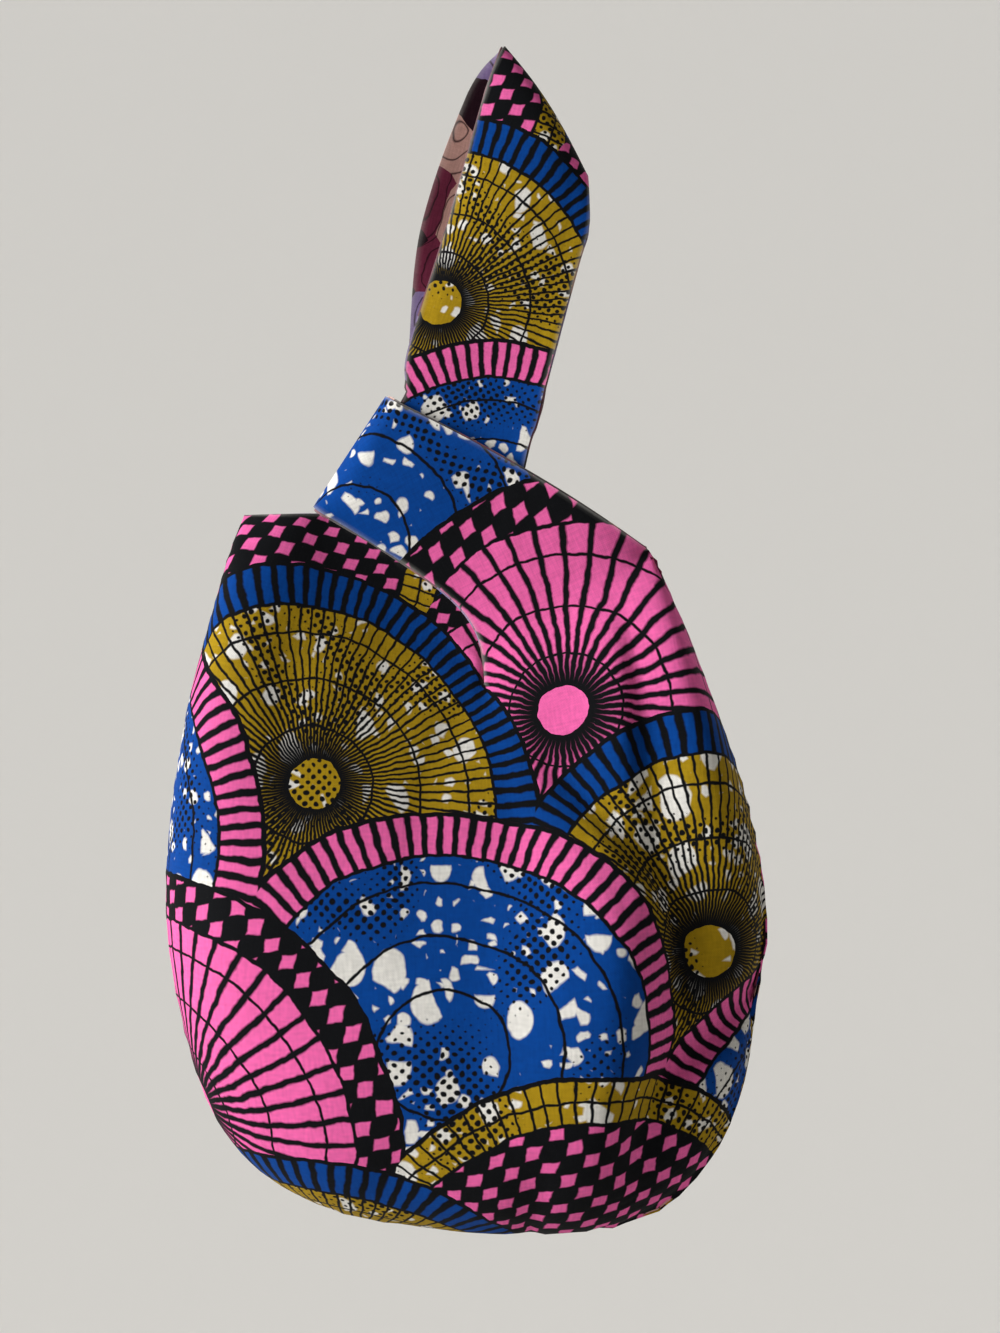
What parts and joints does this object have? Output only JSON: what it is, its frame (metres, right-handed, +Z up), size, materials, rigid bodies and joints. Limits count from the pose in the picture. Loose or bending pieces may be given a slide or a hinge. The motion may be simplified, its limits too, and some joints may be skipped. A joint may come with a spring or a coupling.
{
  "type": "japanese knot bag",
  "caption": "Lined cloth knot bag hanging by its long loop, which runs through a short loop folded round it; rounded pouch with side seams and open armhole mouths.",
  "frame": {"origin": "underside of the long loop's crown, where a peg carries the hanging bag", "axes": "+X to the right seen from the front, +Y from the front to the back, +Z up"},
  "size_m": [0.2604, 0.1106, 0.5137],
  "materials": {
    "outer_print": "plain-weave printed cotton, matt with a faint sheen",
    "lining_print": "plain-weave printed cotton, matt"
  },
  "bodies": {
    "handle": {"long_loop_front_outer": "outer_print", "long_loop_front_lining": "lining_print", "long_loop_back_outer": "outer_print", "long_loop_back_lining": "lining_print"},
    "bag": {"body_front_outer": "outer_print", "body_front_lining": "lining_print", "body_back_outer": "outer_print", "body_back_lining": "lining_print", "long_loop_bend_front_outer": "outer_print", "long_loop_bend_front_lining": "lining_print", "long_loop_bend_back_outer": "outer_print", "long_loop_bend_back_lining": "lining_print"},
    "short_loop": {"short_loop_front_outer": "outer_print", "short_loop_front_lining": "lining_print", "short_loop_back_outer": "outer_print", "short_loop_back_lining": "lining_print"}
  },
  "joints": [
    {"name": "handle_fold", "type": "hinge", "parent": "handle", "child": "bag", "pos_m": [-0.01593, 0, -0.14398], "axis": [0.9613, 0, -0.2756], "range_deg": [-70, 70], "deforming": ["long_loop_bend_front_outer", "long_loop_bend_front_lining", "long_loop_bend_back_outer", "long_loop_bend_back_lining"]},
    {"name": "short_loop_lift", "type": "hinge", "parent": "bag", "child": "short_loop", "pos_m": [0.0625, 0, -0.2162], "axis": [0, 1, 0], "range_deg": [0, 4]}
  ]
}
